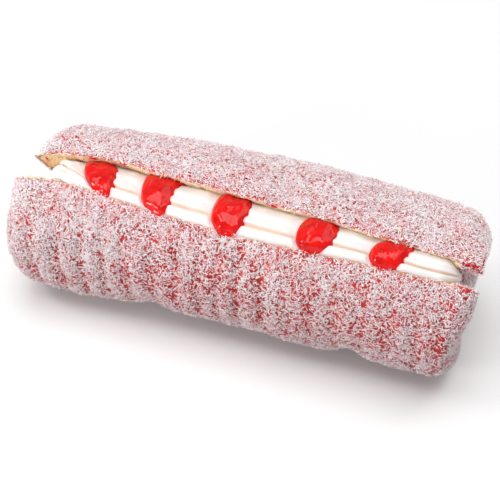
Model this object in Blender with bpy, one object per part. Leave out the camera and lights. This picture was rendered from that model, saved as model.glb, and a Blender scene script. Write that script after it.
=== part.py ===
"""Raspberry lamington roll, split lengthwise, with piped cream and five jam dollops.

Metres, +X along the roll, -Y the side the mouth of the split leans to, +Z up.
Every solid is a set of closed rings of points, one ring per station along the roll.
"""

import math

import bmesh
import bpy
import numpy as np

# ---------------------------------------------------------------- roll, outer shape
LENGTH = 0.240                # end to end
HEIGHT = 0.078                # base to crown
HALF_WIDTH = 0.0487           # half width of the section at mid length
HALF_WIDTH_LOSS = 0.0033      # how much of it is lost toward both ends
HALF_WIDTH_SKEW = 0.0013      # the left end is this much wider than the middle
BEND = 0.0070                 # both ends bend this far toward -Y
BEND_SKEW = 0.0015            # and the right end this much further
CENTRE_Y = 0.0012             # puts the middle of the bounding box on y = 0
SECTION_POWER = 2.15          # exponent of the superellipse section
BASE_SINK = 0.0022            # depth of section cut away to make the flat base
END_RADIUS = 0.0135           # rounding of both end rims
LEFT_END_SHEAR = 0.06         # the back half stops short of the front half at the left end

# ---------------------------------------------------------------- roll, surface relief
RIB_PITCH = 0.0121            # ribs round the front of the roll
RIB_HEIGHT = 0.0009
CROWN_PITCH = 0.0150          # shorter waves over the back of the crown
CROWN_HEIGHT = 0.0006
# creases and bellies low on the front: position along X, spread, height
FRONT_BELLIES = (
    (-0.080, 0.016, 0.0012),
    (-0.041, 0.008, -0.0026),
    (0.036, 0.017, 0.0016),
    (0.064, 0.007, -0.0040),
    (0.114, 0.014, -0.0022),
)

# ---------------------------------------------------------------- the split
# angle of each mouth edge round the section (0 = front, 90 = crown), along the roll
FLAP_EDGE = ((-0.120, 84.3), (-0.092, 84.8), (-0.066, 85.3), (-0.054, 81.8), (-0.026, 79.3),
             (0.001, 76.8), (0.032, 75.3), (0.053, 73.5), (0.069, 71.8), (0.098, 70.8), (0.120, 69.0))
LIP_EDGE = ((-0.120, 62.5), (-0.097, 64.0), (-0.078, 60.9), (-0.056, 56.8), (-0.027, 52.6),
            (0.010, 49.8), (0.041, 51.0), (0.073, 52.8), (0.098, 53.4), (0.120, 55.2))
HINGE_BACK = 0.0220           # hinge behind the section's middle
HINGE_HEIGHT = 0.0215         # hinge above the base
HINGE_GAP = 0.0016            # width of the split at the hinge
LEFT_END_HOLLOW = 0.0105      # the inside of the split stops short of its rim at the left
RIGHT_END_HOLLOW = 0.0052     # and, with the back of the base, at the right

# ---------------------------------------------------------------- cream
CLEARANCE = 0.0004            # free gap between touching foods
CREAM_LEFT = -0.1030
CREAM_RIGHT = 0.1130
CREAM_LEFT_TAPER = 0.013
CREAM_RIGHT_TAPER = 0.030
CREAM_FLAP_DEPTH = 0.0084     # bare sponge above the cream on the flap, at mid length
CREAM_FLAP_DEPTH_SKEW = 0.0034
CREAM_LIP_DEPTH = 0.0004      # cream starts this far below the lip's edge
CREAM_BULGE = 0.0050          # how far the rope stands above the line of its two sides
CREAM_DIP = 0.0036            # how far it sinks under each dollop
CREAM_RIDGES = 5
CREAM_RIDGE_HEIGHT = 0.0007
CREAM_FOOT = 0.90             # the filling reaches this far down to the hinge

# ---------------------------------------------------------------- jam dollops
# middle along X, half length along X, lean between lip and flap, height
DOLLOPS = (
    (-0.0752, 0.0090, -0.0085, 0.0055),
    (-0.0425, 0.0094, -0.0020, 0.0066),
    (-0.0050, 0.0094, -0.0020, 0.0066),
    (0.0400, 0.0097, 0.0010, 0.0060),
    (0.0775, 0.0095, 0.0045, 0.0052),
)
DOLLOP_FLOOR_GAP = 0.0005     # free gap between a dollop and the cream under it
DOLLOP_REACH = 0.482          # half of its span across the mouth, as a share of the cream

# ---------------------------------------------------------------- mesh density
OUTER_POINTS = 27
FACE_SHARES = (0.09, 0.38, 0.69)
CREAM_TOP_POINTS = 14
DOLLOP_SPOKES = 20

MATERIALS = {
    "coated_sponge": ((0.62, 0.20, 0.20), 0.80),
    "whipped_cream": ((0.93, 0.88, 0.82), 0.45),
    "raspberry_jam": ((0.72, 0.015, 0.012), 0.12),
}


def signed_power(value, power):
    """Raises the size of a number to a power and keeps its sign."""
    return np.sign(value) * np.abs(value) ** power


def bump(x, middle, spread):
    """Bell curve of height 1."""
    return math.exp(-(((x - middle) / spread) ** 2))


def knots(table, x):
    """Smooth curve through the points of one of the mouth-edge tables."""
    spots = np.array([k[0] for k in table])
    angles = np.array([k[1] for k in table])
    around = x + np.linspace(-0.009, 0.009, 7)
    return float(np.mean(np.interp(around, spots, angles)))


def centre_y(x):
    """Y of the section's middle."""
    u = 2.0 * x / LENGTH
    return CENTRE_Y - BEND_SKEW * u - BEND * u * u


def end_inset(x):
    """How far the section shrinks at a station, for the rounded end rims."""
    left = min(max((LENGTH / 2 - abs(x)) / END_RADIUS, 0.0), 1.0)
    return END_RADIUS * (1.0 - math.sqrt(1.0 - (1.0 - left) ** 2))


def relief(x, angle):
    """Height of ribs, waves and bellies at a station and an angle (radians)."""
    wander = 0.9 * math.sin(x / 0.021) + 0.6 * math.sin(x / 0.0093 + 1.0)
    front = 1.0 / (1.0 + np.exp((np.degrees(angle) - 26.0) / 9.0))
    ribs = RIB_HEIGHT * np.sin(2 * math.pi * x / RIB_PITCH + wander + 0.5 * np.sin(2.0 * angle)) * front
    crown = np.exp(-(((np.degrees(angle) - 135.0) / 38.0) ** 2))
    waves = CROWN_HEIGHT * np.sin(2 * math.pi * x / CROWN_PITCH + 1.2 * math.sin(x / 0.034)) * crown
    low_front = np.exp(-(((np.degrees(angle) + 46.0) / 34.0) ** 2))
    bellies = sum(height * bump(x, spot, spread) for spot, spread, height in FRONT_BELLIES) * low_front
    lumps = 0.0005 * np.sin(3.0 * angle + 31.0 * x) * math.sin(x / 0.017)
    return ribs + waves + bellies + lumps


def outer_points(x, degrees):
    """Points (y, z) of the outer surface at a station; `degrees` may be an array."""
    angle = np.radians(np.asarray(degrees, dtype=float))
    u = 2.0 * x / LENGTH
    inset = end_inset(x)
    half_width = HALF_WIDTH - HALF_WIDTH_SKEW * u - HALF_WIDTH_LOSS * u * u - inset
    half_height = (HEIGHT + BASE_SINK) / 2 - inset
    raise_by = relief(x, angle) * (1.0 - 0.6 * inset / END_RADIUS)
    across = signed_power(np.cos(angle), 2.0 / SECTION_POWER)
    upward = signed_power(np.sin(angle), 2.0 / SECTION_POWER)
    y = centre_y(x) - (half_width + raise_by) * across
    z = (HEIGHT + BASE_SINK) / 2 - BASE_SINK + (half_height + raise_by) * upward
    return np.stack([y, np.clip(z, 0.0, HEIGHT)], axis=-1)


def mouth(x):
    """Flap edge, lip edge and hinge of the split at a station, as (y, z) points."""
    flap = outer_points(x, knots(FLAP_EDGE, x))
    lip = outer_points(x, knots(LIP_EDGE, x))
    hinge = np.array([centre_y(x) + HINGE_BACK, HINGE_HEIGHT])
    return flap, lip, hinge


def hinge_corners(flap, lip, hinge):
    """The hinge's two corners, on the flap side and on the lip side."""
    inward = hinge - (flap + lip) / 2
    inward /= np.linalg.norm(inward)
    side = np.array([-inward[1], inward[0]]) * HINGE_GAP / 2
    return hinge + side, hinge - side


def shear_end(x, y):
    """X of a point once the left end's slant is taken in."""
    weight = min(max((-x - 0.060) / 0.060, 0.0), 1.0) ** 2
    return x + LEFT_END_SHEAR * weight * (y - centre_y(x) + 0.035)


def end_pull(x, degrees, depth):
    """How far each point of a ring is pulled in from the roll's end.

    Args:
        x: the ring's station.
        degrees: angle of each outer point round the section.
        depth: depth of each point inside the split, 0 at its edges to 1 at the hinge.

    Returns:
        One distance along +X per point, outer points first.
    """
    near_end = min(max((abs(x) - LENGTH / 2 + 0.016) / 0.016, 0.0), 1.0)
    if x > 0:
        outside = np.exp(-(((degrees + 150.0) / 42.0) ** 2))
        inside = np.clip(depth / FACE_SHARES[0], 0.0, 1.0)
        return -RIGHT_END_HOLLOW * near_end * np.concatenate([outside, inside])
    outside = np.where(degrees == degrees[-1], 0.22, 0.0)
    return LEFT_END_HOLLOW * near_end * np.concatenate([outside, np.sqrt(depth)])


def sponge_ring(x):
    """One closed ring of the sponge: round the outside from lip to flap, then into the split."""
    flap, lip, hinge = mouth(x)
    flap_corner, lip_corner = hinge_corners(flap, lip, hinge)
    degrees = np.linspace(knots(LIP_EDGE, x), knots(FLAP_EDGE, x) - 360.0, OUTER_POINTS)
    outside = outer_points(x, degrees)
    share = np.array(FACE_SHARES)[:, None]
    flap_face = flap + (flap_corner - flap) * share
    lip_face = lip + (lip_corner - lip) * share[::-1]
    ring = np.vstack([outside, flap_face, flap_corner, lip_corner, lip_face])
    depth = np.concatenate([share[:, 0], [1.0, 1.0], share[::-1, 0]])
    pull = end_pull(x, degrees, depth)
    return [(shear_end(x, y) + along, y, z) for (y, z), along in zip(ring, pull)]


def sponge_stations():
    """Stations along the roll, closer together at the rounded ends."""
    rim = END_RADIUS * np.array([0.0, 0.05, 0.16, 0.34, 0.60])
    inner = LENGTH / 2 - END_RADIUS
    middle = np.linspace(-inner, inner, 71)
    return np.concatenate([-LENGTH / 2 + rim, middle, (LENGTH / 2 - rim)[::-1]])


def cream_sides(x):
    """Where the rope meets the lip's face and the flap's face, and the way out of the mouth."""
    flap, lip, hinge = mouth(x)
    flap_way = (hinge - flap) / np.linalg.norm(hinge - flap)
    lip_way = (hinge - lip) / np.linalg.norm(hinge - lip)
    u = 2.0 * x / LENGTH
    on_flap = flap + flap_way * (CREAM_FLAP_DEPTH - CREAM_FLAP_DEPTH_SKEW * u)
    on_lip = lip + lip_way * CREAM_LIP_DEPTH
    chord = flap - lip
    outward = np.array([-chord[1], chord[0]]) / np.linalg.norm(chord)
    flap_normal = np.array([flap_way[1], -flap_way[0]])
    lip_normal = np.array([-lip_way[1], lip_way[0]])
    if np.dot(flap_normal, lip - flap) < 0:
        flap_normal = -flap_normal
    if np.dot(lip_normal, flap - lip) < 0:
        lip_normal = -lip_normal
    return on_lip + lip_normal * CLEARANCE, on_flap + flap_normal * CLEARANCE, outward


def under_dollop(x):
    """1 in the middle of a dollop, 0 between dollops."""
    return min(1.0, sum(bump(x, spot, half * 1.15) for spot, half, _, _ in DOLLOPS))


def cream_fade(x):
    """Share of the full section left at a station, 0 at the two tips."""
    left = min(max((x - CREAM_LEFT) / CREAM_LEFT_TAPER, 0.0), 1.0)
    right = min(max((CREAM_RIGHT - x) / CREAM_RIGHT_TAPER, 0.0), 1.0)
    return math.sqrt(1.0 - (1.0 - left) ** 2) * math.sqrt(1.0 - (1.0 - right) ** 2)


def cream_top(x, share, extra=0.0):
    """Point (y, z) on the rope's top; share runs 0 at the lip to 1 at the flap."""
    on_lip, on_flap, outward = cream_sides(x)
    sink = under_dollop(x)
    dome = (1.0 - abs(2.0 * share - 1.0) ** 2.6) ** 0.5
    ridge = CREAM_RIDGE_HEIGHT * abs(math.cos(math.pi * CREAM_RIDGES * share)) * (1.0 - sink)
    lift = (CREAM_BULGE - CREAM_DIP * sink) * dome + ridge * dome + extra
    return on_lip + (on_flap - on_lip) * share + outward * lift


def cream_ring(x):
    """One closed ring of the cream: over the rope from lip to flap, then down the split."""
    flap, lip, hinge = mouth(x)
    on_lip, on_flap, _ = cream_sides(x)
    shares = 0.5 - 0.5 * np.cos(np.linspace(0.0, math.pi, CREAM_TOP_POINTS))
    top = [cream_top(x, s) for s in shares]
    inward = (hinge - (flap + lip) / 2) * CREAM_FOOT
    foot = (flap + lip) / 2 + inward
    side = np.array([-inward[1], inward[0]]) / np.linalg.norm(inward) * 0.0011
    flap_foot, lip_foot = foot + side, foot - side
    flap_side = [on_flap + (flap_foot - on_flap) * t for t in (0.35, 0.70)]
    lip_side = [lip_foot + (on_lip - lip_foot) * t for t in (0.30, 0.65)]
    ring = np.array(top + flap_side + [flap_foot, lip_foot] + lip_side)
    core = on_lip * 0.42 + on_flap * 0.38 + foot * 0.20
    fade = 0.12 + 0.88 * cream_fade(x)
    return [(shear_end(x, y), y, z) for y, z in core + (ring - core) * fade]


def cream_stations():
    """Stations of the cream, closer together at its tapered ends."""
    left = CREAM_LEFT + CREAM_LEFT_TAPER * np.array([0.0, 0.04, 0.14, 0.30, 0.55])
    right = CREAM_RIGHT - CREAM_RIGHT_TAPER * np.array([0.0, 0.03, 0.10, 0.22, 0.40, 0.65])
    middle = np.linspace(CREAM_LEFT + CREAM_LEFT_TAPER * 0.85, CREAM_RIGHT - CREAM_RIGHT_TAPER * 0.9, 44)
    return np.concatenate([left, middle, right[::-1]])


def dollop_point(dollop, radius, turn, lift):
    """Point over the cream at a polar place of a dollop, `lift` above the rope's top."""
    middle, half_length, lean, _ = dollop
    wobble = 1.0 + 0.05 * math.sin(3.0 * turn + 40.0 * middle) + 0.03 * math.sin(5.0 * turn + 1.0)
    share = 0.50 + DOLLOP_REACH * radius * signed_power(math.sin(turn), 0.85)
    x = middle + lean * (share - 0.5) + half_length * wobble * radius * signed_power(math.cos(turn), 0.85)
    y, z = cream_top(x, share, lift)
    return shear_end(x, y), y, z


def dollop_rings(dollop):
    """Rings of a dollop from the middle of its top, over the rim, to the middle of its floor."""
    turns = np.linspace(0.0, 2 * math.pi, DOLLOP_SPOKES, endpoint=False)
    rings = []
    for radius in (0.22, 0.45, 0.66, 0.83, 0.94, 1.0):
        height = dollop[3] * (1.0 - radius ** 2.6) ** 0.5
        rings.append([dollop_point(dollop, radius, t, DOLLOP_FLOOR_GAP + height) for t in turns])
    for radius in (0.70, 0.35):
        rings.append([dollop_point(dollop, radius, t, DOLLOP_FLOOR_GAP) for t in turns])
    crown = dollop_point(dollop, 0.0, 0.0, DOLLOP_FLOOR_GAP + dollop[3])
    floor = dollop_point(dollop, 0.0, 0.0, DOLLOP_FLOOR_GAP)
    return rings, crown, floor


def closed_solid(name, rings, first_tip=None, last_tip=None):
    """Joins closed rings of equal length into one solid, with tips or flat caps at its ends.

    Args:
        name: object name.
        rings: rings of (x, y, z) points, all of the same length.
        first_tip: point that closes the first ring; a flat cap when None.
        last_tip: point that closes the last ring; a flat cap when None.

    Returns:
        The new object.
    """
    solid = bmesh.new()
    loops = [[solid.verts.new(point) for point in ring] for ring in rings]
    count = len(loops[0])
    for one, other in zip(loops, loops[1:]):
        for k in range(count):
            after = (k + 1) % count
            solid.faces.new((one[k], one[after], other[after], other[k]))
    for loop, tip in ((loops[0], first_tip), (loops[-1], last_tip)):
        if tip is None:
            solid.faces.new(loop)
            continue
        point = solid.verts.new(tip)
        for k in range(count):
            solid.faces.new((loop[k], loop[(k + 1) % count], point))
    bmesh.ops.recalc_face_normals(solid, faces=solid.faces)
    bmesh.ops.triangulate(solid, faces=solid.faces, ngon_method="EAR_CLIP")
    mesh = bpy.data.meshes.new(name)
    solid.to_mesh(mesh)
    solid.free()
    thing = bpy.data.objects.new(name, mesh)
    bpy.context.scene.collection.objects.link(thing)
    return thing


def paint(thing, slot):
    """Gives an object its own Principled material."""
    color, roughness = MATERIALS[slot]
    material = bpy.data.materials.new(f"{slot}_{thing.name}")
    material.use_nodes = True
    shader = material.node_tree.nodes["Principled BSDF"]
    shader.inputs["Base Color"].default_value = (*color, 1.0)
    shader.inputs["Roughness"].default_value = roughness
    thing.data.materials.append(material)


def build():
    """Builds every solid of the roll."""
    for old in list(bpy.data.objects):
        bpy.data.objects.remove(old, do_unlink=True)
    roll = closed_solid("sponge_roll", [sponge_ring(x) for x in sponge_stations()])
    paint(roll, "coated_sponge")
    cream = closed_solid("cream_filling", [cream_ring(x) for x in cream_stations()])
    paint(cream, "whipped_cream")
    for number, dollop in enumerate(DOLLOPS, start=1):
        rings, crown, floor = dollop_rings(dollop)
        jam = closed_solid(f"jam_dollop_{number}", rings, crown, floor)
        paint(jam, "raspberry_jam")


build()
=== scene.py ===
"""Looks of a raspberry lamington roll, split lengthwise and filled with cream and jam.

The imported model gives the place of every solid. Each class below makes one part of the cake
over its solid: the jelly-soaked sponge, the coconut, the piped cream, the jam and the crumbs.
Lengths are metres, angles degrees.
"""

import logging
import math
from dataclasses import dataclass, field
from enum import Enum

import bmesh
import bpy
import numpy as np
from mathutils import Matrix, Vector, geometry, noise


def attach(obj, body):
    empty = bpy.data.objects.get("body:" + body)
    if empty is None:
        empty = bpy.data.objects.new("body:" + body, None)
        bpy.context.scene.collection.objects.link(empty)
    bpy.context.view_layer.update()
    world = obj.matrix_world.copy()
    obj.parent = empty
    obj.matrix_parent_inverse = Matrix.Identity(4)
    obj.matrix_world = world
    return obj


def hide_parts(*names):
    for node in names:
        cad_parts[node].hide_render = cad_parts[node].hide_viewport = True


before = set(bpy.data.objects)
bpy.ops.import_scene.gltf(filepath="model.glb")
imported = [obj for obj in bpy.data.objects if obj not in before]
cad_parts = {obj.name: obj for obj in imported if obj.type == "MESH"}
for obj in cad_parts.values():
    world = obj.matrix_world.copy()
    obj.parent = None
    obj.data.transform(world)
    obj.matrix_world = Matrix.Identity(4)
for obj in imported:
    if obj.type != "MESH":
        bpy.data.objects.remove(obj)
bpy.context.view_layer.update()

log = logging.getLogger("lamington")
Color = tuple[float, float, float]
Span = tuple[float, float]
Knots = tuple[Span, ...]
Triple = tuple[float, float, float]
MM = 0.001
PERLIN_GAIN = 1.6


class Side(Enum):
    """The two halves of the split that face each other."""

    FLAP = "flap"
    LIP = "lip"


# ---------------------------------------------------------------- small tools


def signed_power(value: np.ndarray, power: float) -> np.ndarray:
    """Raises the size of numbers to a power and keeps their sign."""
    return np.sign(value) * np.abs(value) ** power


def bell(x: np.ndarray, middle: float, spread: float) -> np.ndarray:
    """Bell curve of height 1."""
    return np.exp(-(((x - middle) / spread) ** 2))


def ease(x: np.ndarray, start: float, end: float) -> np.ndarray:
    """Goes smoothly from 0 at start to 1 at end; start may be the larger."""
    t = np.clip((np.asarray(x, dtype=float) - start) / (end - start), 0.0, 1.0)
    return t * t * (3.0 - 2.0 * t)


def perlin(points: np.ndarray, size: float, seed: float = 0.0) -> np.ndarray:
    """Soft noise between about -1 and 1.

    Args:
        points: array whose last axis is x, y, z.
        size: size of one lump.
        seed: moves the pattern.

    Returns:
        One value per point.
    """
    flat = points.reshape(-1, 3) / size + seed
    values = np.fromiter((noise.noise(Vector(p)) for p in flat), dtype=float, count=len(flat))
    return (PERLIN_GAIN * values).reshape(points.shape[:-1])


def grid_normals(grid: np.ndarray) -> np.ndarray:
    """Unit normals of a grid of points whose second axis closes on itself.

    Args:
        grid: points as (rings, points of a ring, 3).

    Returns:
        One unit vector per point.
    """
    along = np.gradient(grid, axis=0)
    around = np.roll(grid, -1, axis=1) - np.roll(grid, 1, axis=1)
    normal = np.cross(around, along)
    size = np.linalg.norm(normal, axis=-1, keepdims=True)
    return normal / np.maximum(size, 1e-12)


def inside(points: np.ndarray, outline: np.ndarray) -> np.ndarray:
    """Which 2-D points lie inside a closed outline.

    Args:
        points: points as (count, 2).
        outline: corners of the outline in order, as (count, 2).

    Returns:
        True for each point inside.
    """
    result = np.zeros(len(points), dtype=bool)
    for (ax, ay), (bx, by) in zip(outline, np.roll(outline, -1, axis=0)):
        crosses = (ay > points[:, 1]) != (by > points[:, 1])
        if ay != by:
            result ^= crosses & (points[:, 0] < (bx - ax) * (points[:, 1] - ay) / (by - ay) + ax)
    return result


def mesh_object(name: str, points: np.ndarray, faces: list, smooth: bool = True) -> bpy.types.Object:
    """Makes a mesh object at the origin from points and faces.

    Args:
        name: name of the object and of its mesh.
        points: one row for each vertex.
        faces: lists of vertex indices.
        smooth: whether faces are shaded smooth.

    Returns:
        The new object.
    """
    mesh = bpy.data.meshes.new(name)
    mesh.from_pydata([tuple(p) for p in points], [], faces)
    mesh.validate()
    mesh.polygons.foreach_set("use_smooth", [smooth] * len(mesh.polygons))
    mesh.update()
    thing = bpy.data.objects.new(name, mesh)
    bpy.context.scene.collection.objects.link(thing)
    return thing


def ring_faces(rings: int, count: int) -> np.ndarray:
    """Quads between neighbouring closed rings of `count` points.

    Args:
        rings: number of rings.
        count: points in each ring.

    Returns:
        One row of four indices for each quad.
    """
    one = np.arange(rings - 1)[:, None] * count + np.arange(count)[None, :]
    after = np.arange(rings - 1)[:, None] * count + (np.arange(count)[None, :] + 1) % count
    return np.stack([one, after, after + count, one + count], axis=-1).reshape(-1, 4)


def set_attribute(thing: bpy.types.Object, name: str, values: np.ndarray) -> None:
    """Stores one number per vertex under a name that materials and node trees can read."""
    attribute = thing.data.attributes.new(name, "FLOAT", "POINT")
    attribute.data.foreach_set("value", np.asarray(values, dtype=np.float32).ravel())


def face_outward(thing: bpy.types.Object) -> None:
    """Makes every face of a closed mesh point outward.

    Args:
        thing: object whose mesh is changed in place.
    """
    mesh = thing.data
    work = bmesh.new()
    work.from_mesh(mesh)
    bmesh.ops.recalc_face_normals(work, faces=work.faces)
    work.to_mesh(mesh)
    work.free()
    points = np.array([v.co for v in mesh.vertices])
    mesh.calc_loop_triangles()
    corners = np.array([t.vertices for t in mesh.loop_triangles])
    a, b, c = (points[corners[:, k]] for k in range(3))
    if np.einsum("ij,ij->i", a, np.cross(b, c)).sum() < 0:
        mesh.flip_normals()


def close_tips(points: np.ndarray) -> tuple[np.ndarray, list]:
    """Joins closed rings to one skin and shuts both its ends with a fan.

    Args:
        points: ring points as (rings, points of a ring, 3).

    Returns:
        The vertices, the two tips last, and the faces.
    """
    rings, count = points.shape[:2]
    faces = ring_faces(rings, count).tolist()
    flat = np.vstack([points.reshape(-1, 3), points[0].mean(axis=0), points[-1].mean(axis=0)])
    for start, tip in ((0, len(flat) - 2), ((rings - 1) * count, len(flat) - 1)):
        faces += [[start + k, start + (k + 1) % count, tip] for k in range(count)]
    return flat, faces


def finish_piece(thing: bpy.types.Object, material: bpy.types.Material, slot: str, *nodes: str) -> None:
    """Dresses a piece, puts it on the cake's body and lets it stand for its solids.

    Args:
        thing: the finished mesh object.
        material: its only material.
        slot: name of a material slot; not used.
        *nodes: solids that it replaces, if any.
    """
    thing.data.materials.clear()
    thing.data.materials.append(material)
    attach(thing, "root")
    if nodes:
        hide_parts(*nodes)
    thing.data.calc_loop_triangles()
    log.info("%s: %d triangles", thing.name, len(thing.data.loop_triangles))


# ---------------------------------------------------------------- material nodes


class Painter:
    """A material under construction, with short calls for the nodes that the finishes use."""

    def __init__(self, name: str) -> None:
        """Starts an empty Principled material.

        Args:
            name: name of the material.
        """
        self.material = bpy.data.materials.new(name)
        self.material.use_nodes = True
        self.nodes = self.material.node_tree.nodes
        self.links = self.material.node_tree.links
        self.shader = self.nodes["Principled BSDF"]
        self.place = self.nodes.new("ShaderNodeTexCoord").outputs["Object"]

    def fix(self, **values: object) -> None:
        """Sets numbers and colours on the shader's own sockets, names written with _ for spaces."""
        for name, value in values.items():
            self.shader.inputs[name.replace("_", " ")].default_value = value

    def attribute(self, name: str) -> bpy.types.NodeSocket:
        """Value of a vertex attribute.

        Args:
            name: name of the attribute.

        Returns:
            The value's socket.
        """
        node = self.nodes.new("ShaderNodeAttribute")
        node.attribute_name = name
        return node.outputs["Fac"]

    def height(self, low: float, high: float, at_low: float) -> bpy.types.NodeSocket:
        """Goes from at_low at one height above the floor to 1 at another.

        Args:
            low: height of the value at_low.
            high: height of the value 1.
            at_low: value below the low height.

        Returns:
            The value's socket.
        """
        node = self.nodes.new("ShaderNodeSeparateXYZ")
        self.links.new(self.place, node.inputs[0])
        return self.step(node.outputs["Z"], low, high, at_low, 1.0)

    def noise(self, scale: float, detail: float = 3.0, roughness: float = 0.55) -> bpy.types.NodeSocket:
        """Noise on the object's own coordinates; scale is in lumps per metre.

        Args:
            scale: lumps per metre.
            detail: layers of finer noise.
            roughness: strength of the finer layers.

        Returns:
            Socket of a value around 0.5.
        """
        node = self.nodes.new("ShaderNodeTexNoise")
        node.inputs["Scale"].default_value = scale
        node.inputs["Detail"].default_value = detail
        node.inputs["Roughness"].default_value = roughness
        self.links.new(self.place, node.inputs["Vector"])
        return node.outputs["Fac"]

    def cells(self, scale: float) -> bpy.types.NodeSocket:
        """Distance to the nearest of scattered points, for pores.

        Args:
            scale: pores per metre.

        Returns:
            The distance's socket.
        """
        node = self.nodes.new("ShaderNodeTexVoronoi")
        node.inputs["Scale"].default_value = scale
        self.links.new(self.place, node.inputs["Vector"])
        return node.outputs["Distance"]

    def ramp(self, value: bpy.types.NodeSocket, *stops: tuple[float, Color]) -> bpy.types.NodeSocket:
        """Colour that runs through the given stops as value goes up.

        Args:
            value: socket from 0 to 1.
            *stops: a place from 0 to 1 and a colour, in rising order.

        Returns:
            The colour's socket.
        """
        node = self.nodes.new("ShaderNodeValToRGB")
        elements = node.color_ramp.elements
        while len(elements) < len(stops):
            elements.new(0.5)
        for element, (spot, color) in zip(elements, stops):
            element.position = spot
            element.color = (*color, 1.0)
        self.links.new(value, node.inputs["Fac"])
        return node.outputs["Color"]

    def step(self, value: bpy.types.NodeSocket, low: float, high: float,
             to_low: float = 0.0, to_high: float = 1.0) -> bpy.types.NodeSocket:
        """Maps low..high to to_low..to_high and stops at both ends.

        Args:
            value: socket to map.
            low: value that gives to_low.
            high: value that gives to_high.
            to_low: result at the low end.
            to_high: result at the high end.

        Returns:
            The mapped value's socket.
        """
        node = self.nodes.new("ShaderNodeMapRange")
        for name, number in (("From Min", low), ("From Max", high), ("To Min", to_low), ("To Max", to_high)):
            node.inputs[name].default_value = number
        self.links.new(value, node.inputs["Value"])
        return node.outputs["Result"]

    def math(self, kind: str, first: object, second: object) -> bpy.types.NodeSocket:
        """One sum, product or other operation of two values, each a socket or a number.

        Args:
            kind: name of the operation.
            first: socket or number.
            second: socket or number.

        Returns:
            The result's socket.
        """
        node = self.nodes.new("ShaderNodeMath")
        node.operation = kind
        for socket, value in zip(node.inputs, (first, second)):
            if isinstance(value, (int, float)):
                socket.default_value = value
            else:
                self.links.new(value, socket)
        return node.outputs[0]

    def mix(self, share: object, first: object, second: object) -> bpy.types.NodeSocket:
        """Blend of two colours, each a socket or a colour; share 0 gives the first.

        Args:
            share: socket or number from 0 to 1.
            first: socket or colour at share 0.
            second: socket or colour at share 1.

        Returns:
            The blend's socket.
        """
        node = self.nodes.new("ShaderNodeMix")
        node.data_type = "RGBA"
        factor = node.inputs["Factor"]
        one, two = (next(s for s in node.inputs if s.name == name and s.type == "RGBA") for name in "AB")
        for socket, value in ((factor, share), (one, first), (two, second)):
            if isinstance(value, (int, float)):
                socket.default_value = value
            elif isinstance(value, tuple):
                socket.default_value = (*value, 1.0)
            else:
                self.links.new(value, socket)
        return next(s for s in node.outputs if s.type == "RGBA")

    def bump(self, height: bpy.types.NodeSocket, depth: float, strength: float = 1.0) -> None:
        """Adds relief to the shader's normal.

        Args:
            height: socket of the relief.
            depth: its depth in metres.
            strength: how much of it shows.
        """
        node = self.nodes.new("ShaderNodeBump")
        node.inputs["Distance"].default_value = depth
        node.inputs["Strength"].default_value = strength
        self.links.new(height, node.inputs["Height"])
        self.links.new(node.outputs["Normal"], self.shader.inputs["Normal"])

    def color(self, socket: bpy.types.NodeSocket) -> None:
        """Uses a colour as the shader's base colour."""
        self.links.new(socket, self.shader.inputs["Base Color"])

    def roughness(self, socket: bpy.types.NodeSocket) -> None:
        """Uses a value as the shader's roughness."""
        self.links.new(socket, self.shader.inputs["Roughness"])


@dataclass(frozen=True)
class SpongeFinish:
    """Golden crumb on the cut faces, raspberry jelly soaked into the outside."""

    jelly: Color = (0.58, 0.030, 0.026)
    jelly_dark: Color = (0.33, 0.010, 0.010)
    jelly_pale: Color = (0.76, 0.16, 0.15)
    crumb: Color = (1.0, 0.71, 0.42)
    crumb_pale: Color = (1.0, 0.84, 0.62)
    crumb_pore: Color = (0.94, 0.44, 0.17)
    patch_scale: float = 120.0
    grain_scale: float = 420.0
    pore_scale: float = 620.0
    # Painted shade: heights below which the jelly is painted darker, full at the floor.
    jelly_shade_heights: Span = (0.006, 0.066)
    relief: float = 0.0011
    light_reach: Triple = (0.0046, 0.0030, 0.0016)

    def material(self) -> bpy.types.Material:
        """Builds the sponge's material, which reads the vertex attribute soak.

        Returns:
            The material.
        """
        paint = Painter("jelly_soaked_sponge")
        soak = paint.attribute("soak")
        patches = paint.noise(self.patch_scale, 4.0)
        jelly = paint.ramp(patches, (0.30, self.jelly_dark), (0.52, self.jelly), (0.78, self.jelly_pale))
        # Painted shade: the jelly is darkened toward the floor, for the shade on the roll's lower front.
        jelly = paint.mix(paint.height(*self.jelly_shade_heights, 0.0), self.jelly_dark, jelly)
        grain = paint.noise(self.grain_scale, 5.0, 0.65)
        crumb = paint.ramp(grain, (0.32, self.crumb_pore), (0.47, self.crumb), (0.68, self.crumb_pale))
        pores = paint.step(paint.cells(self.pore_scale), 0.10, 0.34)
        crumb = paint.mix(pores, self.crumb_pore, crumb)
        paint.color(paint.mix(soak, crumb, jelly))
        paint.roughness(paint.step(soak, 0.0, 1.0, 0.88, 0.50))
        height = paint.math("ADD", paint.math("MULTIPLY", grain, 0.8), paint.math("MULTIPLY", pores, 0.5))
        paint.bump(height, self.relief, 0.8)
        paint.fix(Subsurface_Weight=0.60, Subsurface_Radius=self.light_reach, Subsurface_Scale=1.0,
                  Specular_IOR_Level=0.3)
        return paint.material


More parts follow.
